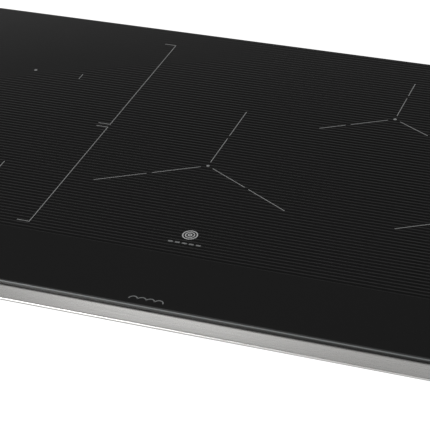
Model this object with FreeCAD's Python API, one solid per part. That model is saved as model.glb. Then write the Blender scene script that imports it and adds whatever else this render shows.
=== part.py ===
"""Built-in electric induction cooktop, 91 cm class, five cooking zones.

Units are millimetres. +X runs to the right, +Y to the back and +Z up, and the origin is the
centre of the footprint at the level of the feet under the tray.
"""
import FreeCAD, Part
import math
import os

V = FreeCAD.Vector

# ---------------------------------------------------------------- driving dimensions

glass_width = 910.0
glass_depth = 516.0
glass_thickness = 4.0
glass_corner_radius = 6.0
glass_top_rounding = 1.8
print_thickness = 0.05

trim_projection = 15.5          # how far the steel front trim stands out past the glass
trim_slope_drop = 3.75
trim_nose_radius = 2.0
trim_hem_radius = 0.8
trim_bend_radius = 1.0
trim_sheet = 1.2
trim_flange_depth = 22.0
trim_return_depth = 9.0
end_cap_thickness = 2.0

bond_thickness = 0.5
bond_width = 12.0
rail_height = 4.5
rail_inset = 3.0                # glass edge to the outer face of the side and rear rails
rail_width = 29.0
front_rail_depth = 33.0
seal_thickness = 2.0
seal_width = 10.0
seal_edge_gap = 1.0

cutout_width = glass_width - 30.0
cutout_depth = glass_depth - 26.0
cutout_clearance = 5.0          # tray wall to the worktop cut-out
tray_sheet = 1.0
tray_flange = 12.0
tray_depth = 42.0
front_step_length = 56.0        # shallow front part of the tray, which lets air past the cabinet rail
front_step_height = 22.0
foot_height = 5.0
foot_radius = 8.0
foot_wall_distance = 104.0      # tray's side wall to the outer feet

post_radius = 2.9
post_seat_radius = 6.0
post_inset = 12.0
deck_hole_clearance = 0.3
deck_post_seat_height = 14.0
deck_post_head = 2.5            # post above the deck's top face
spring_wire_radius = 0.55
spring_clearance = 0.7          # guide post to the inside of the spring
spring_turns = 5.0

touch_gap = 0.3                 # between flat faces of pieces that move apart
deck_sheet = 1.5
deck_edge_gap = 19.0            # tray wall to the deck
deck_gap = 4.0                  # between the two decks
ferrite_height = 4.0
ferrite_width = 12.0
winding_height = 5.0
winding_turn_pitch = 7.0
winding_groove = 0.8
mica_thickness = 0.8
sensor_radius = 5.0
sensor_height = 3.0
large_coil_radius = 110.0
small_coil_radius = 75.0
bridge_coil_gap = 10.8          # between the two coils of the bridge zone
winding_bore = 24.0

zone_line_width = 0.8
zone_dot_radius = 1.7
large_mark_radius = 115.0
small_mark_radius = 80.0
mark_start = 7.5               # from a mark's dot to the start of its arms
large_mark_break = 59.5         # from the dot to the middle of the break in each arm
small_mark_break = 49.8
mark_break = 5.5                # length of the break
bracket_width = 256.0
bracket_split = 5.2
bracket_tick = 12.6
bracket_front_reach = 90.6      # front bridge zone's dot to its bracket's front tick
bracket_rear_reach = 98.6       # rear bridge zone's dot to its bracket's rear tick
bracket_seam_shift = 5.2        # seam of the brackets behind the middle of the two dots
side_tick = 11.0
side_tick_offset = 54.7         # bridge zone centre to its side ticks

board_thickness = 1.6
board_depth = 165.0
left_board_width = 160.0
right_board_width = 220.0
standoff_height = 6.0
standoff_radius = 3.5
board_hole_inset = 6.0
board_screw_radius = 1.5
part_height = 18.0              # tallest part on a power board

fan_size = 90.0
fan_height = 20.0
fan_wall = 1.5
rotor_radius = 33.0
fan_shaft_radius = 1.5
shaft_clearance = 0.05
blade_count = 16

control_width = 420.0
control_depth = 42.0
control_front = 39.0            # glass front edge to the control board's carrier
carrier_floor = 2.0
carrier_wall = 1.5
carrier_height = 6.0
touch_pad_radius = 4.0
touch_pad_count = 13

clamp_pivot_inset = 15.0
clamp_front_distance = 16.0     # front edge of the tray's deep part to the front clamps and feet
clamp_rear_distance = 42.0      # tray's rear wall to the rear clamps and feet
clamp_reach = 38.0
clamp_width = 14.0
clamp_sheet = 1.5
clamp_screw_radius = 2.0
clamp_screw_clearance = 0.06

grommet_bore = 5.5
grommet_length = 10.0
lead_radius = 1.5
lead_bend = 5.0

# ---------------------------------------------------------------- levels and edges

overall_depth = glass_depth + trim_projection
glass_front = -overall_depth / 2 + trim_projection
glass_back = glass_front + glass_depth
half_width = glass_width / 2

tray_bottom = foot_height
tray_floor = tray_bottom + tray_sheet
rail_bottom = tray_bottom + tray_depth
rail_top = rail_bottom + rail_height
step_bottom = rail_bottom - front_step_height
step_floor = step_bottom + tray_sheet
seal_bottom = rail_bottom - seal_thickness
glass_bottom = rail_top + bond_thickness
glass_top = glass_bottom + glass_thickness

cutout_front = glass_front + (glass_depth - cutout_depth) / 2
tray_half = cutout_width / 2 - cutout_clearance
tray_front = cutout_front + cutout_clearance
tray_back = cutout_front + cutout_depth - cutout_clearance
deep_front = tray_front + front_step_length

mica_top = glass_bottom - touch_gap
winding_top = mica_top - mica_thickness
ferrite_top = winding_top - winding_height
deck_top = ferrite_top - ferrite_height
deck_bottom = deck_top - deck_sheet

board_bottom = tray_floor + standoff_height
board_top = board_bottom + board_thickness

# Cooking zones: (x from the centre line, y from the glass front edge), laid out with the glass.
left_x = -0.3131 * glass_width
zone_front_left = (left_x, glass_front + 0.3636 * glass_depth)
zone_rear_left = (left_x, glass_front + 0.7411 * glass_depth)
zone_centre = (-0.0318 * glass_width, glass_front + 0.4719 * glass_depth)
zone_rear_middle = (0.1363 * glass_width, glass_front + 0.7502 * glass_depth)
zone_right = (0.3067 * glass_width, glass_front + 0.4719 * glass_depth)
bridge_pitch = zone_rear_left[1] - zone_front_left[1]
bridge_coil_radius = (bridge_pitch - bridge_coil_gap) / 2

deck_front = glass_front + control_front + control_depth + 7.0
deck_back = tray_back - deck_edge_gap
deck_split = (zone_front_left[0] + bridge_coil_radius + zone_centre[0] - large_coil_radius) / 2
left_deck = (-tray_half + deck_edge_gap, deck_split - deck_gap / 2)
right_deck = (deck_split + deck_gap / 2, tray_half - deck_edge_gap)


# ---------------------------------------------------------------- small helpers

def box(x_range, y_range, z_range):
    """A block between two corners."""
    x0, x1 = x_range
    y0, y1 = y_range
    z0, z1 = z_range
    return Part.makeBox(x1 - x0, y1 - y0, z1 - z0, V(x0, y0, z0))


def block(centre, size, bottom):
    """A block centred on (x, y), standing on the level `bottom`."""
    x, y = centre
    width, depth, height = size
    return Part.makeBox(width, depth, height, V(x - width / 2, y - depth / 2, bottom))


def rod(centre, radius, bottom, top):
    """A vertical cylinder."""
    return Part.makeCylinder(radius, top - bottom, V(centre[0], centre[1], bottom))


def ring(centre, outer, inner, bottom, top):
    """A vertical tube."""
    return rod(centre, outer, bottom, top).cut(rod(centre, inner, bottom - 1, top + 1))


def join(solids):
    """One solid made of several that touch or overlap."""
    first, *others = solids
    return first.fuse(others).removeSplitter() if others else first


def cut_all(solid, tools):
    """The solid without any of the tools."""
    return solid.cut(Part.makeCompound(tools))


def rounded_path(points, radii):
    """Straight runs through the points, joined by tangent arcs with one radius for each corner."""
    corners = [V(*point) for point in points]
    edges, start = [], corners[0]
    for before, corner, after, radius in zip(corners, corners[1:], corners[2:], radii):
        if radius == 0:
            edges.append(Part.LineSegment(start, corner).toShape())
            start = corner
            continue
        back = (before - corner).normalize()
        ahead = (after - corner).normalize()
        half_angle = back.getAngle(ahead) / 2
        reach = radius / math.tan(half_angle)
        bisector = (back + ahead).normalize()
        middle = corner + bisector * (radius / math.sin(half_angle) - radius)
        arc_start, arc_end = corner + back * reach, corner + ahead * reach
        edges.append(Part.LineSegment(start, arc_start).toShape())
        edges.append(Part.Arc(arc_start, middle, arc_end).toShape())
        start = arc_end
    edges.append(Part.LineSegment(start, corners[-1]).toShape())
    return Part.Wire(edges)


def lead(points, radius, bend):
    """A round wire that follows the points."""
    path = rounded_path(points, [bend] * (len(points) - 2))
    start, ahead = V(*points[0]), V(*points[1]) - V(*points[0])
    outline = Part.Wire(Part.makeCircle(radius, start, ahead))
    return path.makePipeShell([outline], True, False)


def coil_spring(centre, bottom, top):
    """A compression spring around a guide post."""
    mean_radius = post_radius + spring_clearance + spring_wire_radius
    wire_rise = top - bottom - 2 * spring_wire_radius
    helix = Part.makeHelix(wire_rise / spring_turns, wire_rise, mean_radius)
    outline = Part.Wire(Part.makeCircle(spring_wire_radius, V(mean_radius, 0, 0), V(0, 1, 0)))
    spring = Part.Wire(helix.Edges).makePipeShell([outline], True, True)
    spring.translate(V(centre[0], centre[1], bottom + spring_wire_radius))
    return spring


def guide_post(centre, floor, seat, top):
    """A stepped post riveted into the tray, with a shoulder that carries its spring."""
    return join([rod(centre, post_seat_radius, floor, seat), rod(centre, post_radius, seat, top)])


def slot_row(x_centre, count, pitch, width, y_range, z_range):
    """Upright vent slots side by side along X."""
    first = x_centre - (count - 1) * pitch / 2
    return [box((first + i * pitch - width / 2, first + i * pitch + width / 2), y_range, z_range)
            for i in range(count)]


def save(node, solids):
    """Write one node, which is one solid or a group of separate solids."""
    shape = solids[0] if len(solids) == 1 else Part.makeCompound(solids)
    shape.exportStep("parts/" + node + ".step")


# ---------------------------------------------------------------- glass and its printing

def glass_panel():
    """Glass-ceramic plate with rounded corners and a rounded top edge."""
    plate = box((-half_width, half_width), (glass_front, glass_back), (glass_bottom, glass_top))
    upright = [edge for edge in plate.Edges if abs(edge.Vertexes[0].Z - edge.Vertexes[1].Z) > 1]
    plate = plate.makeFillet(glass_corner_radius, upright)
    top_edges = [edge for edge in plate.Edges if edge.BoundBox.ZMin > glass_top - 0.01]
    return plate.makeFillet(glass_top_rounding, top_edges)


def printed_bar(start, end):
    """A thin printed line between two points on the glass."""
    length = math.dist(start, end)
    bar = Part.makeBox(length, zone_line_width, print_thickness, V(0, -zone_line_width / 2, 0))
    angle = math.degrees(math.atan2(end[1] - start[1], end[0] - start[0]))
    bar.rotate(V(0, 0, 0), V(0, 0, 1), angle)
    bar.translate(V(start[0], start[1], glass_top))
    return bar


def printed_dot(centre):
    return rod(centre, zone_dot_radius, glass_top, glass_top + print_thickness)


def three_armed_mark(centre, outer, middle):
    """A dot and three arms, each broken once on its way out."""
    solids = [printed_dot(centre)]
    runs = [(mark_start, middle - mark_break / 2), (middle + mark_break / 2, outer)]
    for angle in (90, 210, 330):
        ray = (math.cos(math.radians(angle)), math.sin(math.radians(angle)))
        for near, far in runs:
            solids.append(printed_bar((centre[0] + near * ray[0], centre[1] + near * ray[1]),
                                      (centre[0] + far * ray[0], centre[1] + far * ray[1])))
    return solids


def bridge_brackets():
    """Four square brackets round the two bridged zones, with a dot and two ticks in each zone."""
    solids = []
    seam = (zone_front_left[1] + zone_rear_left[1]) / 2 + bracket_seam_shift
    half_line = zone_line_width / 2
    spans = [(zone_front_left, zone_front_left[1] - bracket_front_reach, seam - bracket_split / 2),
             (zone_rear_left, seam + bracket_split / 2, zone_rear_left[1] + bracket_rear_reach)]
    for centre, front, back in spans:
        solids.append(printed_dot(centre))
        for side in (-1, 1):
            x = centre[0] + side * bracket_width / 2
            solids.append(printed_bar((x, front), (x, back)))
            near = x - side * half_line
            for y in (front + half_line, back - half_line):
                solids.append(printed_bar((near, y), (near - side * bracket_tick, y)))
            tick = centre[0] + side * side_tick_offset
            solids.append(printed_bar((tick, centre[1] - side_tick / 2), (tick, centre[1] + side_tick / 2)))
    return solids


def zone_markings():
    marks = bridge_brackets()
    marks += three_armed_mark(zone_centre, large_mark_radius, large_mark_break)
    marks += three_armed_mark(zone_right, large_mark_radius, large_mark_break)
    marks += three_armed_mark(zone_rear_middle, small_mark_radius, small_mark_break)
    return marks


# ---------------------------------------------------------------- frame under the glass

def front_trim():
    """Folded stainless trim: flange under the glass, sloping face, round nose and a short return."""
    nose_y = glass_front - trim_projection
    flange_end = glass_front + trim_flange_depth
    return_end = nose_y + trim_return_depth
    face_low = rail_top - trim_slope_drop
    tilt = math.atan(trim_slope_drop / trim_projection)
    inner_low = face_low + trim_sheet * (math.tan(tilt) - 1 / math.cos(tilt))
    inner_bend = glass_front + trim_sheet * math.tan(tilt / 2)
    outer = [(flange_end, rail_top), (glass_front, rail_top), (nose_y, face_low), (nose_y, seal_bottom),
             (return_end, seal_bottom)]
    inner = [(return_end, seal_bottom + trim_sheet), (nose_y + trim_sheet, seal_bottom + trim_sheet),
             (nose_y + trim_sheet, inner_low), (inner_bend, rail_top - trim_sheet),
             (flange_end, rail_top - trim_sheet)]
    outer_radii = [trim_bend_radius, trim_nose_radius, trim_hem_radius, 0]
    inner_radii = [0, 0, 0, trim_bend_radius + trim_sheet, 0]
    outline = rounded_path([(0, y, z) for y, z in outer + inner + outer[:1]], outer_radii + inner_radii)
    length = glass_width - 2 * end_cap_thickness
    section = Part.Face(outline)
    section.translate(V(-length / 2, 0, 0))
    return section.extrude(V(length, 0, 0))


def trim_end_caps():
    """Plates that close both ends of the front trim."""
    nose_y = glass_front - trim_projection
    corners = [(glass_front, seal_bottom), (glass_front, rail_top), (nose_y, rail_top - trim_slope_drop),
               (nose_y, seal_bottom), (glass_front, seal_bottom)]
    outline = rounded_path([(0, y, z) for y, z in corners], [0, trim_nose_radius, trim_hem_radius])
    plate = Part.Face(outline).extrude(V(end_cap_thickness, 0, 0))
    caps = []
    for x in (-half_width, half_width - end_cap_thickness):
        cap = plate.copy()
        cap.translate(V(x, 0, 0))
        caps.append(cap)
    return caps


rail_outer = half_width - rail_inset
rail_inner = rail_outer - rail_width
rear_rail_back = glass_back - rail_inset
rear_rail_front = rear_rail_back - rail_width
front_rail_front = glass_front + rail_inset
front_rail_back = front_rail_front + front_rail_depth


def rails():
    """Four straight rails that carry the glass; the front one also carries the trim's flange."""
    front = box((-rail_outer, rail_outer), (front_rail_front, front_rail_back),
                (rail_bottom, rail_top - trim_sheet))
    ledge = box((-rail_outer, rail_outer), (glass_front + trim_flange_depth + touch_gap, front_rail_back),
                (rail_top - trim_sheet, rail_top))
    rear = box((-rail_outer, rail_outer), (rear_rail_front, rear_rail_back), (rail_bottom, rail_top))
    side_y = (front_rail_back, rear_rail_front)
    left = box((-rail_outer, -rail_inner), side_y, (rail_bottom, rail_top))
    right = box((rail_inner, rail_outer), side_y, (rail_bottom, rail_top))
    return {"front_rail": join([front, ledge]), "rear_rail": rear, "left_rail": left, "right_rail": right}


def bond_bead():
    """Silicone bead that holds the glass, laid as a closed frame inside the rails' outer edge."""
    outer = box((-rail_outer + 1, rail_outer - 1), (front_rail_front + 1, rear_rail_back - 1),
                (rail_top, glass_bottom))
    inner = box((-rail_outer + 1 + bond_width, rail_outer - 1 - bond_width),
                (front_rail_front + 1 + bond_width, rear_rail_back - 1 - bond_width),
                (rail_top, glass_bottom))
    return outer.cut(inner)


def worktop_seals():
    """Foam strips under the rails, which rest on the worktop round the cut-out."""
    level = (seal_bottom, rail_bottom)
    outer_x = rail_outer - seal_edge_gap
    back_y = rear_rail_back - seal_edge_gap
    front_y = front_rail_front + seal_edge_gap
    side_y = (front_y + seal_width, back_y - seal_width)
    return [box((-outer_x, outer_x), (front_y, front_y + seal_width), level),
            box((-outer_x, outer_x), (back_y - seal_width, back_y), level),
            box((-outer_x, -outer_x + seal_width), side_y, level),
            box((outer_x - seal_width, outer_x), side_y, level)]


# ---------------------------------------------------------------- tray, posts and feet

fan_y = deck_back - 20.0 - fan_size / 2
fan_centres = {"left": ((left_deck[0] + left_deck[1]) / 2, fan_y),
               "right": (right_deck[0] + 186.0 * (right_deck[1] - right_deck[0]) / 562.0, fan_y)}
board_y = deck_front + 24.0 + board_depth / 2
board_centres = {"left": ((left_deck[0] + left_deck[1]) / 2, board_y),
                 "right": ((right_deck[0] + right_deck[1]) / 2, board_y)}
board_widths = {"left": left_board_width, "right": right_board_width}

post_rows = (deck_front + post_inset, deck_back - post_inset)
left_posts = [(x, y) for x in (left_deck[0] + post_inset, left_deck[1] - post_inset) for y in post_rows]
right_posts = [(x, y) for x in (right_deck[0] + post_inset, board_centres["right"][0],
                                right_deck[1] - post_inset) for y in post_rows]
deck_seat = tray_floor + deck_post_seat_height

carrier_front = glass_front + control_front
carrier_back = carrier_front + control_depth
control_board_top = glass_bottom - touch_gap - 8.0
control_board_bottom = control_board_top - board_thickness
carrier_bottom = control_board_bottom - carrier_floor
control_seat = carrier_bottom - 13.0
control_posts = [(x, (carrier_front + carrier_back) / 2)
                 for x in (-control_width / 2 + 30, -control_width / 6, control_width / 6, control_width / 2 - 30)]

foot_rows = (deep_front + clamp_front_distance, tray_back - clamp_rear_distance)
clamp_pivots = {row + "_" + side: (sign * (tray_half - clamp_pivot_inset), y)
                for row, y in zip(("front", "rear"), foot_rows) for side, sign in (("left", -1), ("right", 1))}
grommet_centre = (right_deck[1] - 110.0, tray_back - 52.0)
terminal_centre = (grommet_centre[0], grommet_centre[1] - 38.0)

screw_xs = [tray_half * share for share in (-0.9, -0.45, 0.0, 0.45, 0.9)]
screw_ys = [tray_front + (tray_back - tray_front) * share for share in (0.25, 0.5, 0.75)]
flange_screws = [(x, y) for x in screw_xs for y in (tray_front + tray_flange / 2, tray_back - tray_flange / 2)]
flange_screws += [(x, y) for x in (-tray_half + tray_flange / 2, tray_half - tray_flange / 2) for y in screw_ys]
flange_screw_radius = 1.6


def fan_vents(centre):
    """Floor slots inside a circle, under the fan's inlet."""
    reach, slots = fan_size / 2 - 14.0, []
    for i in range(-4, 5):
        half = math.sqrt(reach ** 2 - (i * 7.0) ** 2) - 1.0
        slots.append(block((centre[0], centre[1] + i * 7.0), (2 * half, 3.0, 3 * tray_sheet),
                           tray_bottom - tray_sheet))
    return slots


def base_tray():
    """Folded steel tray, shallow at the front, with a flange, vents and screw holes."""
    deep = box((-tray_half, tray_half), (deep_front, tray_back), (tray_bottom, rail_bottom))
    shallow = box((-tray_half, tray_half), (tray_front, deep_front), (step_bottom, rail_bottom))
    inner_x = (-tray_half + tray_sheet, tray_half - tray_sheet)
    inner_top = rail_bottom - tray_sheet
    inner_deep = box(inner_x, (deep_front + tray_sheet, tray_back - tray_sheet), (tray_floor, inner_top))
    inner_shallow = box(inner_x, (tray_front + tray_sheet, deep_front + 2 * tray_sheet), (step_floor, inner_top))
    mouth = box((-tray_half + tray_flange, tray_half - tray_flange),
                (tray_front + tray_flange, tray_back - tray_flange), (inner_top - 1, rail_bottom + 1))
    tools = [inner_deep, inner_shallow, mouth]
    for centre in fan_centres.values():
        tools += fan_vents(centre)
    rear_z = (tray_floor + 9, tray_floor + 27)
    step_z = (tray_floor + 4, step_bottom - 4)
    for share in (-0.62, -0.2, 0.2, 0.62):
        x = share * tray_half
        tools += slot_row(x, 9, 8.0, 3.0, (tray_back - 2 * tray_sheet, tray_back + tray_sheet), rear_z)
        tools += slot_row(x, 9, 8.0, 3.0, (deep_front - tray_sheet, deep_front + 2 * tray_sheet), step_z)
    tools += [rod(centre, clamp_screw_radius + 0.02, tray_bottom - 1, tray_floor + 1)
              for centre in clamp_pivots.values()]
    tools += [rod(centre, flange_screw_radius + 0.2, rail_bottom - 2, rail_bottom + 1)
              for centre in flange_screws]
    tools.append(rod(grommet_centre, grommet_bore + 2.5, tray_bottom - 1, tray_floor + 1))
    return cut_all(join([deep, shallow]), tools)


def tray_feet():
    outer_x = tray_half - foot_wall_distance
    xs = (-outer_x, 0.0, outer_x)
    feet = []
    for centre in [(x, y) for x in xs for y in foot_rows]:
        foot = rod(centre, foot_radius, 0.0, foot_height)
        feet.append(foot.makeFillet(1.2, [edge for edge in foot.Edges if edge.BoundBox.ZMax < 0.01]))
    return feet


def tray_screws():
    """Flange screws: head under the flange, flat against it, and a shank that ends in the rail's seat."""
    return [join([rod(centre, flange_screw_radius, rail_bottom - tray_sheet, rail_bottom),
                  rod(centre, 3.0, rail_bottom - tray_sheet - 2.0, rail_bottom - tray_sheet)])
            for centre in flange_screws]


def guide_posts():
    head = deck_top + deck_post_head
    posts = [guide_post(centre, tray_floor, deck_seat, head) for centre in left_posts + right_posts]
    return posts + [guide_post(centre, step_floor, control_seat, carrier_bottom - 2.5)
                    for centre in control_posts]


# ---------------------------------------------------------------- sprung coil decks

def coil_deck(x_range, posts, coils):
    """Aluminium sheet with holes for the posts and a round window under each coil."""
    sheet = box(x_range, (deck_front, deck_back), (deck_bottom, deck_top))
    tools = [rod(centre, post_radius + deck_hole_clearance, deck_bottom - 1, deck_top + 1) for centre in posts]
    tools += [rod(centre, winding_bore * 0.7, deck_bottom - 1, deck_top + 1) for centre, radius in coils]
    return cut_all(sheet, tools)


def winding(centre, radius):
    """Flat litz winding: a grooved ring, one groove between neighbouring turns."""
    x, y = centre
    points = [(winding_bore, ferrite_top), (radius, ferrite_top), (radius, winding_top)]
    turns = round((radius - winding_bore) / winding_turn_pitch)
    pitch = (radius - winding_bore) / turns
    for i in range(1, turns):
        edge = radius - i * pitch
        points += [(edge + winding_groove, winding_top), (edge, winding_top - winding_groove),
                   (edge - winding_groove, winding_top)]
    points += [(winding_bore, winding_top)]
    outline = Part.makePolygon([V(x + r, y, z) for r, z in points + points[:1]])
    return Part.Face(outline).revolve(V(x, y, 0), V(0, 0, 1), 360)


def ferrite_bars(centre, radius):
    """Eight bars laid out like spokes under a winding."""
    bars = []
    for i in range(8):
        bar = box((winding_bore + 8.0, radius - 4.0), (-ferrite_width / 2, ferrite_width / 2),
                  (deck_top, ferrite_top))
        bar.rotate(V(0, 0, 0), V(0, 0, 1), 22.5 + 45.0 * i)
        bar.translate(V(centre[0], centre[1], 0))
        bars.append(bar)
    return bars


def mica_disc(centre, radius):
    return ring(centre, radius, sensor_radius + 2.0, winding_top, mica_top)


def sensor(centre):
    """Temperature sensor on a sprung stem that stands on a cross strip of the winding's bore."""
    stem = rod(centre, 2.0, deck_top, mica_top - sensor_height)
    return join([stem, rod(centre, sensor_radius, mica_top - sensor_height, mica_top),
                 block(centre, (2 * winding_bore - 1.0, 8.0, 1.5), deck_top)])


left_coils = [(zone_front_left, bridge_coil_radius), (zone_rear_left, bridge_coil_radius)]
right_coils = [(zone_centre, large_coil_radius), (zone_rear_middle, small_coil_radius),
               (zone_right, large_coil_radius)]
coil_names = ["coil_front_left", "coil_rear_left", "coil_centre", "coil_rear_middle", "coil_right"]


# ---------------------------------------------------------------- power electronics

def power_board(side):
    x, y = board_centres[side]
    return block((x, y), (board_widths[side], board_depth, board_thickness), board_bottom)


def board_holes(side):
    x, y = board_centres[side]
    dx = board_widths[side] / 2 - board_hole_inset
    dy = board_depth / 2 - board_hole_inset
    return [(x + sx * dx, y + sy * dy) for sx in (-1, 1) for sy in (-1, 1)]


def heatsink(side):
    """Extruded heat sink: a base plate and upright fins along X."""
    x, y = board_centres[side]
    width, depth, base = 110.0, 40.0, 4.0
    plates = [block((x, y + 45), (width, depth, base), board_top)]
    for i in range(9):
        fin_y = y + 45 - depth / 2 + 1.0 + i * (depth - 2.0) / 8
        plates.append(block((x, fin_y), (width, 2.0, part_height), board_top))
    return join(plates)


def transistors(side):
    """Power transistors clamped against the front fin of the heat sink."""
    x, y = board_centres[side]
    return [block((x + dx, y + 22.5), (16.0, 5.0, part_height), board_top) for dx in (-36, -12, 12, 36)]


def capacitors(side):
    x, y = board_centres[side]
    solids = []
    for dx in (-58, -22, 14):
        can = block((x + dx, y - 8), (30.0, 14.0, part_height), board_top)
        solids.append(can.makeFillet(1.0, [e for e in can.Edges if e.BoundBox.ZMin > board_top + 1]))
    return solids


def chokes(side):
    x, y = board_centres[side]
    return [ring((x + 54, y + dy), 14.0, 5.5, board_top, board_top + 13.0) for dy in (-10, -45)]


def relays(side):
    x, y = board_centres[side]
    return [block((x + dx, y - 50), (20.0, 16.0, 15.0), board_top) for dx in (-60, -34)]


def coil_leads(side, coils):
    """One jacketed pair per coil, from the board up and across to the deck's window."""
    x, y = board_centres[side]
    leads = []
    for i, (centre, radius) in enumerate(coils):
        start = (x - 8 + 10 * i, y - 62)
        run = board_top + part_height + 3.5
        away = -1 if i == 0 else 1
        target = (centre[0] + away * (winding_bore * 0.7 + 6.0), centre[1])
        leads.append(lead([(*start, board_top), (*start, run), (*target, run), (*target, deck_bottom)],
                          lead_radius, min(lead_bend, (deck_bottom - run) * 0.8)))
    return leads


# ---------------------------------------------------------------- cooling fans

fan_top = tray_floor + fan_height
fan_roof = fan_top - fan_wall


def fan_housing(centre):
    """Blower housing: round chamber, inlet in its floor, outlet to the front, bearing in its roof."""
    x, y = centre
    body = block(centre, (fan_size, fan_size, fan_height), tray_floor)
    chamber = rod(centre, fan_size / 2 - 4.0, tray_floor + fan_wall, fan_roof)
    inlet = rod(centre, fan_size / 2 - 14.0, tray_floor - 1, tray_floor + fan_wall + 1)
    outlet = box((x - 24, x + 24), (y - fan_size / 2 - 1, y), (tray_floor + fan_wall, fan_roof))
    boss = rod(centre, 5.0, fan_roof - 3.5, fan_roof)
    bore = rod(centre, fan_shaft_radius + shaft_clearance, fan_roof - 4.5, fan_top - 0.4)
    return join([cut_all(body, [chamber, inlet, outlet]), boss]).cut(bore)


def fan_rotor(centre):
    """Impeller that hangs from its shaft: back plate, hub and blades."""
    x, y = centre
    plate_top = fan_roof - 4.0
    blade_bottom = tray_floor + fan_wall + 1.0
    pieces = [rod(centre, rotor_radius, plate_top - 1.2, plate_top),
              rod(centre, 11.0, blade_bottom + 2.0, plate_top - 1.0),
              rod(centre, fan_shaft_radius, plate_top - 1.0, fan_top - 0.8)]
    for i in range(blade_count):
        blade = box((19.0, rotor_radius - 0.5), (-0.6, 0.6), (blade_bottom, plate_top - 1.0))
        blade.rotate(V(19.0, 0, 0), V(0, 0, 1), 28)
        blade.rotate(V(0, 0, 0), V(0, 0, 1), 360.0 * i / blade_count)
        blade.translate(V(x, y, 0))
        pieces.append(blade)
    return join(pieces)


# ---------------------------------------------------------------- touch control

def control_carrier():
    """Shallow plastic carrier that holds the touch board and rests on four springs."""
    outer = box((-control_width / 2, control_width / 2), (carrier_front, carrier_back),
                (carrier_bottom, carrier_bottom + carrier_height))
    inner = box((-control_width / 2 + carrier_wall, control_width / 2 - carrier_wall),
                (carrier_front + carrier_wall, carrier_back - carrier_wall),
                (control_board_bottom, glass_bottom))
    return outer.cut(inner)


def control_board():
    gap = carrier_wall + 0.2
    return box((-control_width / 2 + gap, control_width / 2 - gap), (carrier_front + gap, carrier_back - gap),
               (control_board_bottom, control_board_top))


def touch_pads():
    """Sprung touch contacts in one row, from the board up to the glass."""
    pitch = (control_width - 40) / (touch_pad_count - 1)
    first = -control_width / 2 + 20
    return [rod((first + i * pitch, carrier_front + 12), touch_pad_radius, control_board_top, mica_top)
            for i in range(touch_pad_count)]


def control_displays():
    """Light guides of the zone displays, in one row behind the touch contacts."""
    return [block((x, carrier_front + 29), (26.0, 12.0, 7.4), control_board_top)
            for x in (-160, -80, 0, 80, 160)]


# ---------------------------------------------------------------- mains connection and fixing clamps

terminal_size = (60.0, 22.0, 18.0)


def terminal_block():
    body = block(terminal_centre, terminal_size, tray_floor)
    wells = [rod((terminal_centre[0] + (i - 2) * 11.0, terminal_centre[1]), 2.5,
                 tray_floor + 8, tray_floor + 20) for i in range(5)]
    return cut_all(body, wells)


def terminal_cover():
    """Plastic cover over the terminal block and the cable entry, open towards the front."""
    x, y = terminal_centre
    wall, room = 1.5, 1.0
    half = terminal_size[0] / 2 + room + wall
    back = grommet_centre[1] + 14.0
    front = y - terminal_size[1] / 2
    top = tray_floor + terminal_size[2] + room + wall
    outer = box((x - half, x + half), (front, back), (tray_floor, top))
    inner = box((x - half + wall, x + half - wall), (front - 1, back - wall), (tray_floor - 1, top - wall))
    return outer.cut(inner)


def cable_grommet():
    """Rubber grommet in the tray floor, where the mains cable enters."""
    low = tray_bottom - 4.0
    neck = grommet_bore + 2.4
    flange = grommet_bore + 5.0
    body = join([rod(grommet_centre, neck, low, low + grommet_length),
                 rod(grommet_centre, flange, low, tray_bottom),
                 rod(grommet_centre, flange, tray_floor, tray_floor + 2.0)])
    return body.cut(rod(grommet_centre, grommet_bore, low - 1, low + grommet_length + 1))


clamp_top = tray_bottom - 0.3
clamp_bottom = clamp_top - clamp_sheet


def clamp(name):
    """Flat steel clamp that swivels on its screw, stored along the tray wall."""
    x, y = clamp_pivots[name]
    ahead = 1 if name.startswith("front") else -1
    hub = rod((x, y), clamp_width / 2, clamp_bottom, clamp_top)
    arm = box((x - clamp_width / 2, x + clamp_width / 2), sorted((y, y + ahead * clamp_reach)),
              (clamp_bottom, clamp_top))
    lip_y = sorted((y + ahead * clamp_reach, y + ahead * (clamp_reach - clamp_sheet)))
    lip = box((x - clamp_width / 2, x + clamp_width / 2), lip_y, (clamp_bottom - 1.5, clamp_top))
    hole = rod((x, y), clamp_screw_radius + clamp_screw_clearance, clamp_bottom - 2, clamp_top + 2)
    return join([hub, arm, lip]).cut(hole)


def clamp_screws():
    head_top = clamp_bottom - 0.3
    return [join([rod(centre, clamp_screw_radius, head_top, tray_floor + 6.0),
                  rod(centre, 4.2, head_top - 2.0, head_top),
                  rod(centre, 4.0, tray_floor, tray_floor + 3.2)]) for centre in clamp_pivots.values()]


def mains_leads():
    """Three insulated wires from the terminal block to the right power board."""
    x, y = board_centres["right"]
    front = terminal_centre[1] - terminal_size[1] / 2
    run = board_top + 7.0
    leads = []
    for i in range(3):
        start_x = terminal_centre[0] - 12.0 + 12.0 * i
        end = (x + 60.0 + 8.0 * i, y + board_depth / 2 - 12.0 - 8.0 * i)
        leads.append(lead([(start_x, front, run), (start_x, end[1] + 34.0, run), (end[0], end[1] + 20.0, run),
                           (*end, run), (*end, board_top)], lead_radius, 0.6 * lead_bend))
    return leads


# ---------------------------------------------------------------- write the nodes

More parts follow.
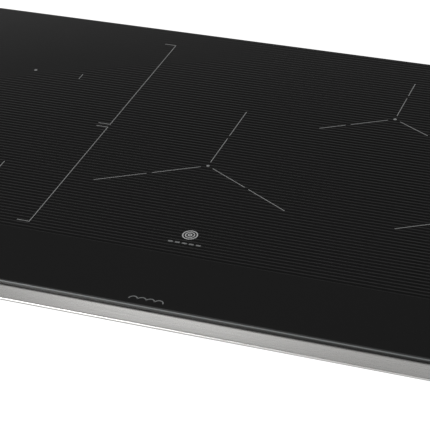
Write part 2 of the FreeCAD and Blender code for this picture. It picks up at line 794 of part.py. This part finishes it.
def main():
    os.makedirs("parts", exist_ok=True)
    save("glass_panel", [glass_panel()])
    save("zone_markings", zone_markings())
    save("bond_bead", [bond_bead()])
    save("front_trim", [front_trim()])
    save("trim_end_caps", trim_end_caps())
    for name, rail in rails().items():
        save(name, [rail])
    save("worktop_seals", worktop_seals())
    save("base_tray", [base_tray()])
    save("tray_feet", tray_feet())
    save("tray_screws", tray_screws())
    save("guide_posts", guide_posts())
    decks = {"left": (left_deck, left_posts, left_coils), "right": (right_deck, right_posts, right_coils)}
    for side, (x_range, posts, coils) in decks.items():
        save("coil_deck_" + side, [coil_deck(x_range, posts, coils)])
        save("deck_springs_" + side, [coil_spring(centre, deck_seat, deck_bottom) for centre in posts])
        save("ferrite_bars_" + side, [bar for coil in coils for bar in ferrite_bars(*coil)])
        save("mica_discs_" + side, [mica_disc(*coil) for coil in coils])
        save("temperature_sensors_" + side, [sensor(centre) for centre, radius in coils])
        save("coil_leads_" + side, coil_leads(side, coils))
        save("power_board_" + side, [power_board(side)])
        save("heatsink_" + side, [heatsink(side)])
        save("fan_housing_" + side, [fan_housing(fan_centres[side])])
        save("fan_rotor_" + side, [fan_rotor(fan_centres[side])])
    for name, coil in zip(coil_names, left_coils + right_coils):
        save(name, [winding(*coil)])
    sides = ("left", "right")
    save("board_standoffs", [rod(hole, standoff_radius, tray_floor, board_bottom)
                             for side in sides for hole in board_holes(side)])
    save("board_screws", [rod(hole, 2 * board_screw_radius, board_top, board_top + 2.0)
                          for side in sides for hole in board_holes(side)])
    save("power_transistors", [solid for side in sides for solid in transistors(side)])
    save("film_capacitors", [solid for side in sides for solid in capacitors(side)])
    save("filter_chokes", [solid for side in sides for solid in chokes(side)])
    save("relays", [solid for side in sides for solid in relays(side)])
    save("control_carrier", [control_carrier()])
    save("control_board", [control_board()])
    save("touch_pads", touch_pads())
    save("control_displays", control_displays())
    save("control_springs", [coil_spring(centre, control_seat, carrier_bottom) for centre in control_posts])
    save("terminal_block", [terminal_block()])
    save("terminal_cover", [terminal_cover()])
    save("cable_grommet", [cable_grommet()])
    save("mains_leads", mains_leads())
    for name in clamp_pivots:
        save("clamp_" + name, [clamp(name)])
    save("clamp_screws", clamp_screws())


main()
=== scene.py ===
"""Looks of the built-in induction cooktop, section by section in the order it is put together."""
import math

import bmesh
import bpy
from mathutils import Matrix, Vector


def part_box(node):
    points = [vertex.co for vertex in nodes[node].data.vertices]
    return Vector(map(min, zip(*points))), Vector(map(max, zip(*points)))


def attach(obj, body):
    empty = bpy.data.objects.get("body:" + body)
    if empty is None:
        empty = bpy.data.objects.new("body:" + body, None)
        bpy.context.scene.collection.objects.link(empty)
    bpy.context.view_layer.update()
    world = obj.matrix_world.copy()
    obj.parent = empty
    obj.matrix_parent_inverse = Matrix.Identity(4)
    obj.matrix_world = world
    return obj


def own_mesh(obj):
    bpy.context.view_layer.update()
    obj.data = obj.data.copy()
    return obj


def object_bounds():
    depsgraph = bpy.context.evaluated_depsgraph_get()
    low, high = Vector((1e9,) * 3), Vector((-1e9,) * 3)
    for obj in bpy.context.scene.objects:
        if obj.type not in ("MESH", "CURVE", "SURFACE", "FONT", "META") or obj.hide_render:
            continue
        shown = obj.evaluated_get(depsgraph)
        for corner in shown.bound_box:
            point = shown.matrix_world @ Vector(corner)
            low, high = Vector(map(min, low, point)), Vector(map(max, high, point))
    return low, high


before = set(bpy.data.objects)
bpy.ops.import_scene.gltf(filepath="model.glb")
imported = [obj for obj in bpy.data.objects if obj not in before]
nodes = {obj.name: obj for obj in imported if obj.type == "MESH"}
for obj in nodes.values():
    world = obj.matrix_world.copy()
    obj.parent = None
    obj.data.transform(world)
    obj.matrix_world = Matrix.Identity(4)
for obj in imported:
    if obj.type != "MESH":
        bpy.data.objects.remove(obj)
cad_low, cad_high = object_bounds()
MM = 0.001


# ---------------------------------------------------------------- base tray
# The housing that hangs in the worktop: 1 mm hot-dip galvanised steel sheet, cut, punched and
# folded. The zinc sets in pale and dull crystals, the spangle, several millimetres wide. The
# swing clamps are cut from like sheet.

def linear(hex_colour):
    """sRGB hex, as #rrggbb, to linear colour with alpha."""
    channels = [int(hex_colour[i:i + 2], 16) / 255 for i in (1, 3, 5)]
    return [c / 12.92 if c <= 0.04045 else ((c + 0.055) / 1.055) ** 2.4 for c in channels] + [1.0]


def add(tree, kind, inputs=None, stops=(), **settings):
    """A shader node with its settings and, for a colour ramp, its stops: positions and hex colours.

    Inputs go by name or in the node's own order, and take a value or another node's output.
    """
    made = tree.nodes.new("ShaderNode" + kind)
    for name, value in settings.items():
        setattr(made, name, value)
    by_key = inputs if isinstance(inputs, dict) else dict(enumerate(inputs or ()))
    for key, value in by_key.items():
        if isinstance(value, bpy.types.NodeSocket):
            tree.links.new(value, made.inputs[key])
        else:
            made.inputs[key].default_value = value
    if stops:
        elements = made.color_ramp.elements
        while len(elements) < len(stops):
            elements.new(0.5)
        for element, (position, colour) in zip(elements, stops):
            element.position = position
            element.color = linear(colour)
    return made


def new_material(name, **constants):
    """A material with one Principled shader whose plain numbers and colours sit on its sockets."""
    material = bpy.data.materials.new(name)
    material.use_nodes = True
    tree = material.node_tree
    shader = tree.nodes["Principled BSDF"]
    for socket, value in constants.items():
        shader.inputs[socket.replace("_", " ")].default_value = value
    return material, tree, shader


def dress(material, *names):
    """Give CAD nodes their material."""
    for name in names:
        if not nodes[name].material_slots:
            nodes[name].data.materials.append(material)
        for slot in nodes[name].material_slots:
            slot.material = material


def galvanised_steel():
    spangle_width = 7 * MM
    material, tree, shader = new_material("galvanised_steel_sheet", Metallic=1.0)
    on_piece = add(tree, "TexCoord").outputs["Object"]
    spangle = add(tree, "TexVoronoi", {"Vector": on_piece, "Scale": 1 / spangle_width}).outputs["Color"]
    zinc = add(tree, "ValToRGB", {"Fac": spangle}, [(0.0, "#8f9496"), (0.5, "#a4a9ab"), (1.0, "#b9bdbe")])
    rough = add(tree, "MapRange", (spangle, 0, 1, 0.34, 0.52))
    tree.links.new(zinc.outputs["Color"], shader.inputs["Base Color"])
    tree.links.new(rough.outputs[0], shader.inputs["Roughness"])
    return material


dress(galvanised_steel(), "base_tray", "clamp_front_left", "clamp_front_right", "clamp_rear_left",
      "clamp_rear_right")


# ---------------------------------------------------------------- feet and cable grommet
# Nitrile rubber, pressed in a mould: nearly black, dull, with a faint bloom that pales it in
# patches. The feet keep the tray off a bench and the grommet lines the mains cable's hole.

def wandering(name, dark, light, grain_width, rough, relief=0.0, stretch=(1, 1, 1), **constants):
    """A material whose colour, roughness and height wander between two limits over its grain."""
    material, tree, shader = new_material(name, **constants)
    on_piece = add(tree, "TexCoord").outputs["Object"]
    stretched = add(tree, "Mapping", {"Vector": on_piece, "Scale": stretch}).outputs[0]
    grain = add(tree, "TexNoise", {"Vector": stretched, "Scale": 1 / grain_width,
                                   "Detail": 3.0}).outputs["Fac"]
    colour = add(tree, "ValToRGB", {"Fac": grain}, [(0.3, dark), (0.7, light)])
    roughness = add(tree, "MapRange", (grain, 0.3, 0.7, *rough))
    tree.links.new(colour.outputs["Color"], shader.inputs["Base Color"])
    tree.links.new(roughness.outputs[0], shader.inputs["Roughness"])
    if relief:
        raised = add(tree, "Bump", {"Height": grain, "Distance": relief, "Strength": 0.6})
        tree.links.new(raised.outputs[0], shader.inputs["Normal"])
    return material


dress(wandering("nitrile_rubber_moulded", "#19191a", "#262626", 1.5 * MM, (0.62, 0.78), 0.05 * MM),
      "tray_feet", "cable_grommet")


# ---------------------------------------------------------------- rating plate
# A blank plate of thin aluminium, stamped with a raised border and a panel, satin anodised, and
# held under the tray by four dome-headed blind rivets.

tray_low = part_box("base_tray")[0]
plate_centre = Vector((240 * MM, 60 * MM, 0))
plate_length, plate_depth, plate_sheet = 80 * MM, 50 * MM, 0.5 * MM
corner_radius = 4 * MM
border_width, border_slope, panel_drop = 2.5 * MM, 0.6 * MM, 0.25 * MM
rivet_inset = 7 * MM
rivet_x, rivet_y = plate_length / 2 - rivet_inset, plate_depth / 2 - rivet_inset
rivet_profile = ((0.0, -1.5), (1.1, -1.35), (1.8, -1.0), (2.1, -0.5), (2.1, 0.0))   # radius, height in mm

plate = bmesh.new()
bmesh.ops.create_grid(plate, x_segments=1, y_segments=1, size=0.5,
                      matrix=Matrix.Diagonal((plate_length, plate_depth, 1, 1)))
bmesh.ops.bevel(plate, geom=plate.verts[:], affect="VERTICES", offset=corner_radius, segments=6,
                profile=0.5, material=-1)
border = bmesh.ops.inset_region(plate, faces=plate.faces[:], thickness=border_width)["faces"]
panel = [face for face in plate.faces if face not in border]
bmesh.ops.inset_region(plate, faces=panel, thickness=border_slope, depth=-panel_drop)
underside = bmesh.ops.extrude_face_region(plate, geom=plate.faces[:], use_keep_orig=True)["geom"]
bmesh.ops.translate(plate, vec=(0, 0, -plate_sheet),
                    verts=[v for v in underside if isinstance(v, bmesh.types.BMVert)])
for side_x in (-1, 1):
    for side_y in (-1, 1):
        rivet = Vector((side_x * rivet_x, side_y * rivet_y, 0))
        dome = [plate.verts.new(rivet + Vector((radius * MM, 0, height * MM)))
                for radius, height in rivet_profile]
        rim = [plate.edges.new(pair) for pair in zip(dome, dome[1:])]
        bmesh.ops.spin(plate, geom=dome + rim, cent=rivet, axis=(0, 0, 1), angle=2 * math.pi, steps=24,
                       use_merge=True)
bmesh.ops.remove_doubles(plate, verts=plate.verts, dist=0.001 * MM)
bmesh.ops.holes_fill(plate, edges=[edge for edge in plate.edges if edge.is_boundary])
bmesh.ops.recalc_face_normals(plate, faces=plate.faces)
bmesh.ops.translate(plate, vec=plate_centre + Vector((0, 0, tray_low.z)), verts=plate.verts)
plate_data = bpy.data.meshes.new("rating_plate")
plate.to_mesh(plate_data)
plate.free()
plate_data.materials.append(wandering("aluminium_satin_anodised", "#b3b5b7", "#c3c5c7", 0.5 * MM,
                                      (0.35, 0.5), 0.01 * MM, stretch=(0.03, 1, 1), Metallic=1.0))
rating_plate = bpy.data.objects.new("rating_plate", plate_data)
bpy.context.scene.collection.objects.link(rating_plate)
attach(rating_plate, "housing")


# ---------------------------------------------------------------- screws and posts
# Steel screws and guide posts, turned or rolled, then zinc plated and passivated: bright, with a
# faint bluish cast and soft cloudy patches.

dress(wandering("zinc_plated_steel", "#9aa0a6", "#b9bfc4", 2.5 * MM, (0.22, 0.36), Metallic=1.0),
      "tray_screws", "guide_posts", "board_screws", "clamp_screws")


# ---------------------------------------------------------------- coil decks and their springs
# Two decks of 1.5 mm aluminium sheet, mill finish, with the rolling lines along the deck. Coil
# springs of dark drawn wire press each deck, and the touch controls, up against the glass.

dress(wandering("aluminium_sheet_rolled", "#b4b7ba", "#cfd1d3", 0.6 * MM, (0.28, 0.42), 0.01 * MM,
                stretch=(0.02, 1, 1), Metallic=1.0), "coil_deck_left", "coil_deck_right")
dress(wandering("spring_steel_drawn", "#55585b", "#7b7f83", 1.2 * MM, (0.28, 0.4), Metallic=1.0),
      "deck_springs_left", "deck_springs_right", "control_springs")


def shorten(name):
    """Give a spring or lead a mesh of its own, not shared with other nodes."""
    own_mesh(nodes[name])


shorten("deck_springs_left")
shorten("deck_springs_right")
shorten("control_springs")


# ---------------------------------------------------------------- ferrites, coils and mica
# Sintered ferrite bars, matt grey-black, under flat coils of litz, hundreds of lacquered copper
# strands twisted together. A disc of split, resin-bonded mica covers each coil. The sensors and
# the boards' standoffs are pale steatite.

def copper_litz():
    strand_pitch = 1.4 * MM       # real strands are finer than a render shows
    band_spacing = 0.31           # of the texture's straight bands at a scale of 1; diagonal ones lie wider
    material, tree, shader = new_material("copper_litz_lacquered", Metallic=1.0)
    on_piece = add(tree, "TexCoord").outputs["Object"]
    twist = add(tree, "TexWave", {"Vector": on_piece, "Scale": band_spacing / strand_pitch, "Distortion": 2.5,
                                  "Detail": 2.0}, bands_direction="DIAGONAL").outputs["Fac"]
    copper = add(tree, "ValToRGB", {"Fac": twist}, [(0.0, "#7c4028"), (0.5, "#b06a44"), (1.0, "#cf8a60")])
    rough = add(tree, "MapRange", (twist, 0, 1, 0.45, 0.28))
    raised = add(tree, "Bump", {"Height": twist, "Distance": 0.15 * MM, "Strength": 0.6})
    tree.links.new(copper.outputs["Color"], shader.inputs["Base Color"])
    tree.links.new(rough.outputs[0], shader.inputs["Roughness"])
    tree.links.new(raised.outputs[0], shader.inputs["Normal"])
    return material


def mica_sheet():
    flake_width = 6 * MM
    material, tree, shader = new_material("mica_sheet_bonded", IOR=1.58)
    on_piece = add(tree, "TexCoord").outputs["Object"]
    flakes = add(tree, "TexVoronoi", {"Vector": on_piece, "Scale": 1 / flake_width}).outputs["Color"]
    mica = add(tree, "ValToRGB", {"Fac": flakes}, [(0.0, "#9c8f76"), (1.0, "#c4b9a0")])
    rough = add(tree, "MapRange", (flakes, 0, 1, 0.3, 0.5))
    tree.links.new(mica.outputs["Color"], shader.inputs["Base Color"])
    tree.links.new(rough.outputs[0], shader.inputs["Roughness"])
    return material


dress(wandering("ferrite_sintered", "#29292b", "#3a3a3d", 0.8 * MM, (0.5, 0.65), 0.03 * MM),
      "ferrite_bars_left", "ferrite_bars_right")
dress(copper_litz(), "coil_front_left", "coil_rear_left", "coil_centre", "coil_rear_middle", "coil_right",
      "filter_chokes")
dress(mica_sheet(), "mica_discs_left", "mica_discs_right")
dress(wandering("steatite_ceramic", "#d9d6cd", "#ebe8e1", 0.7 * MM, (0.4, 0.5), 0.01 * MM),
      "temperature_sensors_left", "temperature_sensors_right", "board_standoffs")


# ---------------------------------------------------------------- circuit boards
# Glass-cloth epoxy boards under green solder mask. The copper tracks beneath the mask show as
# paler, slightly raised lanes with dark gaps between them.

def solder_mask():
    lane_width, lane_length, lane_gap = 2.4 * MM, 21.6 * MM, 0.384 * MM
    material, tree, shader = new_material("circuit_board_epoxy", IOR=1.55)
    on_piece = add(tree, "TexCoord").outputs["Object"]
    lanes = add(tree, "TexBrick", {"Vector": on_piece, "Scale": 1.0, "Brick Width": lane_length,
                                   "Row Height": lane_width, "Mortar Size": lane_gap,
                                   "Color1": linear("#1f6a43"), "Color2": linear("#1a5a39"),
                                   "Mortar": linear("#123c27")})
    rough = add(tree, "MapRange", (lanes.outputs["Fac"], 0, 1, 0.28, 0.45))
    height = add(tree, "MapRange", (lanes.outputs["Fac"], 0, 1, 1, 0)).outputs[0]
    raised = add(tree, "Bump", {"Height": height, "Distance": 0.05 * MM, "Strength": 0.5})
    tree.links.new(lanes.outputs["Color"], shader.inputs["Base Color"])
    tree.links.new(rough.outputs[0], shader.inputs["Roughness"])
    tree.links.new(raised.outputs[0], shader.inputs["Normal"])
    return material


dress(solder_mask(), "power_board_left", "power_board_right", "control_board")


# ---------------------------------------------------------------- parts on the boards
# Nylon and polycarbonate mouldings with a spark-eroded grain, capacitors potted in yellow epoxy,
# and extruded aluminium heatsinks whose die lines run along the fins.

spark_grain = 0.9 * MM            # a real mould's grain is finer than a render shows
dress(wandering("glass_filled_nylon_black", "#17181a", "#232427", spark_grain, (0.42, 0.58), 0.04 * MM),
      "power_transistors", "relays", "control_carrier", "terminal_cover", "fan_housing_left",
      "fan_housing_right", "fan_rotor_left", "fan_rotor_right")
dress(wandering("polycarbonate_grey_moulded", "#7e8183", "#8f9294", spark_grain, (0.35, 0.5), 0.03 * MM),
      "control_displays", "terminal_block")
dress(wandering("epoxy_yellow_potting", "#b98f1c", "#cfa62f", 3 * MM, (0.3, 0.42), 0.03 * MM),
      "film_capacitors")
dress(wandering("aluminium_extruded", "#a9acaf", "#c6c8ca", 0.5 * MM, (0.3, 0.45), 0.02 * MM,
                stretch=(1, 0.02, 1), Metallic=1.0), "heatsink_left", "heatsink_right")


# ---------------------------------------------------------------- wires, pads and sealant
# Silicone-sheathed wires, red to the coils and brown from the mains, satin and soft. Black
# silicone also makes the touch pads and the bead that bonds the glass to its rails.

dress(wandering("silicone_sheath_red", "#8f1d18", "#ab2a22", 2 * MM, (0.4, 0.52)), "coil_leads_left",
      "coil_leads_right")
shorten("coil_leads_left")
shorten("coil_leads_right")
dress(wandering("silicone_sheath_brown", "#4a2a18", "#633a22", 2 * MM, (0.4, 0.52)), "mains_leads")
dress(wandering("silicone_black_cured", "#131314", "#1e1e20", 3 * MM, (0.35, 0.5), 0.05 * MM), "bond_bead",
      "touch_pads")


# ---------------------------------------------------------------- rails and worktop seal
# Folded steel rails under the glass, powder coated black with a fine orange-peel skin. A strip
# of closed-cell foam beneath them seals the glass to the worktop.

def foam_strip():
    cell_width = 1.0 * MM
    material, tree, shader = new_material("polyethylene_foam_grey")
    on_piece = add(tree, "TexCoord").outputs["Object"]
    cells = add(tree, "TexVoronoi", {"Vector": on_piece, "Scale": 1 / cell_width}).outputs["Distance"]
    grey = add(tree, "ValToRGB", {"Fac": cells}, [(0.0, "#3f4142"), (0.6, "#5c5f61")])
    rough = add(tree, "MapRange", (cells, 0, 0.6, 0.95, 0.8))
    raised = add(tree, "Bump", {"Height": cells, "Distance": 0.2 * MM, "Strength": 0.8})
    tree.links.new(grey.outputs["Color"], shader.inputs["Base Color"])
    tree.links.new(rough.outputs[0], shader.inputs["Roughness"])
    tree.links.new(raised.outputs[0], shader.inputs["Normal"])
    return material


dress(wandering("powder_coat_black", "#161718", "#202122", 1.3 * MM, (0.35, 0.46), 0.04 * MM), "front_rail",
      "rear_rail", "left_rail", "right_rail")
dress(foam_strip(), "worktop_seals")


# ---------------------------------------------------------------- front trim
# A strip of 1.2 mm stainless steel, folded round the glass's front edge and brushed along its
# length. The brushing drags highlights across the strip and leaves hair-fine streaks along it.
# Its colour also holds painted light: a painted sheen that dims from the glass towards the nose,
# and painted shade on the hem folded under the nose.

trim_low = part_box("front_trim")[0]


def brushed_stainless():
    streak_width = 0.5 * MM       # real grit lines are finer than a render shows
    streak_length = 60 * MM
    nose_reach, face_reach = 1.5 * MM, 15 * MM   # behind the strip's front, where the painted sheen dims towards the nose
    hem_top, hem_blend = 0.6 * MM, 0.9 * MM      # the height of the painted shade on the hem, and how far up it fades out
    material, tree, shader = new_material("stainless_steel_brushed", Metallic=1.0)
    on_piece = add(tree, "TexCoord").outputs["Object"]
    grit = (1 / streak_length, 1 / streak_width, 1 / streak_width)
    stretched = add(tree, "Mapping", {"Vector": on_piece, "Scale": grit}).outputs[0]
    streaks = add(tree, "TexNoise", {"Vector": stretched, "Scale": 1.0, "Detail": 4.0,
                                     "Roughness": 0.6}).outputs["Fac"]
    steel = add(tree, "ValToRGB", {"Fac": streaks}, [(0.25, "#c2c1bf"), (0.5, "#cccbc9"), (0.75, "#d6d5d4")])
    position = add(tree, "SeparateXYZ", {"Vector": on_piece})
    # painted sheen: the steel's colour is dimmed towards the nose and brightened towards the glass
    painted_sheen = add(tree, "MapRange", (position.outputs["Y"], trim_low.y + nose_reach, trim_low.y + face_reach,
                                  0.86, 1.04)).outputs[0]
    # painted shade: the hem below the nose is darkened
    painted_hem_shade = add(tree, "MapRange", (position.outputs["Z"], trim_low.z + hem_top,
                                  trim_low.z + hem_top + hem_blend, 0.55, 1.0)).outputs[0]
    painted_sheen_and_shade = add(tree, "Math", (painted_sheen, painted_hem_shade), operation="MULTIPLY").outputs[0]
    shaded = add(tree, "Mix", {"Factor": 1.0, "A": steel.outputs["Color"], "B": painted_sheen_and_shade}, data_type="RGBA",
                 blend_type="MULTIPLY")
    rough = add(tree, "MapRange", (streaks, 0.3, 0.7, 0.24, 0.36))
    raised = add(tree, "Bump", {"Height": streaks, "Distance": 0.01 * MM, "Strength": 0.4})
    tree.links.new(shaded.outputs["Result"], shader.inputs["Base Color"])
    tree.links.new(rough.outputs[0], shader.inputs["Roughness"])
    tree.links.new(raised.outputs[0], shader.inputs["Normal"])
    return material


dress(brushed_stainless(), "front_trim", "trim_end_caps")


# ---------------------------------------------------------------- glass panel
# One plate of black glass-ceramic, 4 mm thick. A screen-printed enamel of fine lines, one every
# 5 mm, covers the cooking area, the strip in front stays plain, and the edge is pencil ground.
# The ground edge's grey carries a painted highlight along its top and painted shade at its foot.

glass_low, glass_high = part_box("glass_panel")
glass_top = glass_high.z


def black_glass_ceramic():
    line_pitch = 5.03 * MM
    line_half_width = 0.7 * MM
    plain_strip = 84.5 * MM       # from the front edge to the first printed line
    line_blur = 0.4               # share of the half width by which a line's edge fades either way
    print_edge = 0.1 * MM         # over which the print begins behind the plain strip
    polish_depth = 0.45 * MM      # below the top face, where the ground edge begins
    ground_depth = 0.75 * MM      # where the grinding is full
    edge_highlight_depth, edge_shade_depth = 1.4 * MM, 2.2 * MM   # the ground edge's painted highlight above and its painted shade at the foot
    material, tree, shader = new_material("glass_ceramic_black", IOR=1.5)
    position = add(tree, "SeparateXYZ", {"Vector": add(tree, "TexCoord").outputs["Object"]})
    first_gap = glass_low.y + plain_strip + line_pitch / 2   # midway between the first two lines
    from_gap = add(tree, "Math", (position.outputs["Y"], first_gap), operation="SUBTRACT").outputs[0]
    in_pitch = add(tree, "Math", (from_gap, line_pitch), operation="FLOORED_MODULO").outputs[0]
    from_line = add(tree, "Math", (in_pitch, line_pitch / 2), operation="SUBTRACT").outputs[0]
    distance = add(tree, "Math", (from_line,), operation="ABSOLUTE").outputs[0]
    line = add(tree, "MapRange", (distance, (1 - line_blur) * line_half_width,
                                  (1 + line_blur) * line_half_width, 1, 0)).outputs[0]
    printed = add(tree, "MapRange", (from_gap, -line_pitch / 2, -line_pitch / 2 + print_edge,
                                     0, 1)).outputs[0]
    inked = add(tree, "Math", (line, printed), operation="MULTIPLY").outputs[0]
    between = add(tree, "ValToRGB", {"Fac": printed}, [(0.0, "#222222"), (1.0, "#161616")])
    top = add(tree, "Mix", {"Factor": inked, "A": between.outputs["Color"], "B": linear("#373737")},
              data_type="RGBA")
    ground = add(tree, "MapRange", (position.outputs["Z"], glass_top - ground_depth,
                                    glass_top - polish_depth, 1, 0)).outputs[0]
    # painted light on the ground edge: pale at the top as a painted highlight, dark at the foot as painted
    # shade
    painted_edge_light = add(tree, "MapRange", (position.outputs["Z"], glass_top - edge_shade_depth,
                                  glass_top - edge_highlight_depth, 0, 1)).outputs[0]
    edge = add(tree, "ValToRGB", {"Fac": painted_edge_light}, [(0.0, "#161717"), (1.0, "#6b6e6e")])
    body = add(tree, "Mix", {"Factor": ground, "A": top.outputs["Result"], "B": edge.outputs["Color"]},
               data_type="RGBA")
    polished = add(tree, "MapRange", (inked, 0, 1, 0.09, 0.2)).outputs[0]
    rough = add(tree, "Mix", {"Factor": ground, "A": polished, "B": 0.4}, data_type="FLOAT")
    tree.links.new(body.outputs["Result"], shader.inputs["Base Color"])
    tree.links.new(rough.outputs[0], shader.inputs["Roughness"])
    return material


dress(black_glass_ceramic(), "glass_panel")


# ---------------------------------------------------------------- zone markings
# Thin enamel lines, dots and ticks, fired onto the glass with the pattern: a plain light grey,
# rougher than the polished glass and 0.05 mm thick.

def grey_enamel():
    grain_width = 0.8 * MM
    material, tree, shader = new_material("enamel_print_grey", Roughness=0.35)
    on_piece = add(tree, "TexCoord").outputs["Object"]
    grain = add(tree, "TexNoise", {"Vector": on_piece, "Scale": 1 / grain_width,
                                   "Detail": 2.0}).outputs["Fac"]
    grey = add(tree, "ValToRGB", {"Fac": grain}, [(0.3, "#a5a6a6"), (0.7, "#b3b4b4")])
    tree.links.new(grey.outputs["Color"], shader.inputs["Base Color"])
    return material


dress(grey_enamel(), "zone_markings")


# ---------------------------------------------------------------- maker's place and symbols
# The same enamel in two more greys: pale plain rings, like a coil's turns, where a maker would
# sign, a dimmer row of dashes in front of them, and near the front edge, as dim, a row of loops,
# the sign for an inductor.

print_height = 0.05 * MM


def printed_piece(name, flat, material):
    """Give a flat mesh at z = 0 the print's height, lay it on the glass and join it to the housing."""
    rim = bmesh.ops.extrude_face_region(flat, geom=flat.faces[:], use_keep_orig=True)["geom"]
    bmesh.ops.translate(flat, vec=(0, 0, print_height),
                        verts=[v for v in rim if isinstance(v, bmesh.types.BMVert)])
    bmesh.ops.translate(flat, vec=(0, 0, glass_top), verts=flat.verts)
    bmesh.ops.recalc_face_normals(flat, faces=flat.faces)
    data = bpy.data.meshes.new(name)
    flat.to_mesh(data)
    flat.free()
    data.materials.append(material)
    piece = bpy.data.objects.new(name, data)
    bpy.context.scene.collection.objects.link(piece)
    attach(piece, "housing")


def arc(flat, centre, radius, width, turn):
    """A flat band that runs from the right round to the left through an angle."""
    ends = [flat.verts.new((centre[0] + radius + side * width / 2, centre[1], 0)) for side in (-1, 1)]
    edge = flat.edges.new(ends)
    bmesh.ops.spin(flat, geom=ends + [edge], cent=(*centre, 0), axis=(0, 0, 1), angle=turn, steps=48,
                   use_merge=turn == 2 * math.pi)


pale_enamel = wandering("enamel_print_pale", "#d2d3d3", "#e2e3e3", 0.8 * MM, (0.3, 0.4))
maker_place_x = -0.4 * MM
rings_y, dashes_y, loops_y = -130.3 * MM, -145.2 * MM, -242.4 * MM
ring_width = 1.2 * MM
ring_radii = (7.0 * MM, 4.3 * MM, 1.6 * MM)
rings = bmesh.new()
for radius in ring_radii:
    arc(rings, (maker_place_x, rings_y), radius, ring_width, 2 * math.pi)
printed_piece("maker_place_rings", rings, pale_enamel)

dim_enamel = wandering("enamel_print_dim", "#8b8d8d", "#9b9d9d", 0.8 * MM, (0.3, 0.4))
dashes = bmesh.new()
dash_length, dash_width, dash_gap, dash_count = 4.6 * MM, 2.2 * MM, 2.4 * MM, 5
for index in range(dash_count):
    middle = maker_place_x + (index - (dash_count - 1) / 2) * (dash_length + dash_gap)
    bmesh.ops.create_grid(dashes, x_segments=4, y_segments=1, size=0.5,
                          matrix=Matrix.Translation((middle, dashes_y, 0))
                          @ Matrix.Diagonal((dash_length, dash_width, 1, 1)))
printed_piece("level_dashes", dashes, dim_enamel)

loops = bmesh.new()
loop_radius, loop_width, loop_count = 4.1 * MM, 1.1 * MM, 4
loops_x = 0.5 * MM
for index in range(loop_count):
    middle = loops_x + (index - (loop_count - 1) / 2) * 2 * loop_radius
    arc(loops, (middle, loops_y), loop_radius, loop_width, math.pi)
printed_piece("inductor_loops", loops, dim_enamel)


# ---------------------------------------------------------------- studio and camera
# A white floor that glows a little, a sky that is pale at the horizon, dark above it and pale
# again overhead, and two soft boxes. The camera stands to the front right, above the glass.

def white_floor():
    material, tree, shader = new_material("studio_floor_white", Roughness=0.9, Emission_Strength=1.0)
    shader.inputs["Base Color"].default_value = linear("#6e6e6e")
    shader.inputs["Emission Color"].default_value = linear("#ffffff")
    return material


floor_half = 6.0
floor_mesh = bmesh.new()
bmesh.ops.create_grid(floor_mesh, x_segments=1, y_segments=1, size=floor_half)
floor_gap = 0.2 * MM              # keeps the floor clear of the feet
bmesh.ops.translate(floor_mesh, vec=(0, 0, cad_low[2] - floor_gap), verts=floor_mesh.verts)
floor_data = bpy.data.meshes.new("studio_floor")
floor_mesh.to_mesh(floor_data)
floor_mesh.free()
floor_data.materials.append(white_floor())
floor = bpy.data.objects.new("studio_floor", floor_data)
bpy.context.scene.collection.objects.link(floor)

world = bpy.data.worlds.new("studio_sky")
bpy.context.scene.world = world
world.use_nodes = True
sky = world.node_tree
height = add(sky, "SeparateXYZ", {"Vector": add(sky, "TexCoord").outputs["Generated"]}).outputs["Z"]
ramp = add(sky, "ValToRGB", {"Fac": height})
sky_stops = [(0.0, 1.0), (9.0, 1.0), (16.0, 0.45), (25.4, 0.24), (26.2, 0.12), (26.9, 0.09), (29.0, 0.062),
             (46.0, 0.06), (54.0, 0.45), (64.0, 0.6), (90.0, 0.6)]   # elevation in degrees, brightness
while len(ramp.color_ramp.elements) < len(sky_stops):
    ramp.color_ramp.elements.new(0.5)
for element, (degrees, level) in zip(ramp.color_ramp.elements, sky_stops):
    element.position = math.sin(math.radians(degrees))
    element.color = (level, level, level, 1)
sky.links.new(ramp.outputs["Color"], sky.nodes["Background"].inputs["Color"])


def soft_box(name, direction, distance, size, power):
    """A square area light, turned towards the frame's origin under the middle of the glass."""
    light = bpy.data.lights.new(name, "AREA")
    light.size = size
    light.energy = power
    lamp = bpy.data.objects.new(name, light)
    towards = Vector(direction).normalized()
    turned = towards.to_track_quat("Z", "Y").to_matrix().to_4x4()
    lamp.matrix_world = Matrix.Translation(towards * distance) @ turned
    bpy.context.scene.collection.objects.link(lamp)


soft_box("front_soft_box", direction=(-0.384, -0.848, 0.364), distance=1.51, size=0.45, power=6)
soft_box("overhead_soft_box", direction=(-0.343, 0.296, 0.893), distance=2.16, size=0.5, power=0.8)

camera_azimuth = math.radians(21.90)
camera_elevation = math.radians(32.35)
camera_roll = math.radians(-2.70)
camera_distance = 1.6901
camera_target = Vector((9.8 * MM, -90.65 * MM, glass_top))
back = Vector((math.sin(camera_azimuth) * math.cos(camera_elevation),
               -math.cos(camera_azimuth) * math.cos(camera_elevation), math.sin(camera_elevation)))
level_right = Vector((math.cos(camera_azimuth), math.sin(camera_azimuth), 0))
level_up = back.cross(level_right)
right = math.cos(camera_roll) * level_right + math.sin(camera_roll) * level_up
up = math.cos(camera_roll) * level_up - math.sin(camera_roll) * level_right
turn = Matrix((right, up, back)).transposed().to_4x4()
lens = bpy.data.cameras.new("camera")
lens.sensor_width = 36.0
lens.lens = 148.24
lens.clip_end = 50.0
camera = bpy.data.objects.new("camera", lens)
camera.matrix_world = Matrix.Translation(camera_target + back * camera_distance) @ turn
bpy.context.scene.collection.objects.link(camera)
bpy.context.scene.camera = camera
bpy.context.scene.view_settings.view_transform = "Standard"
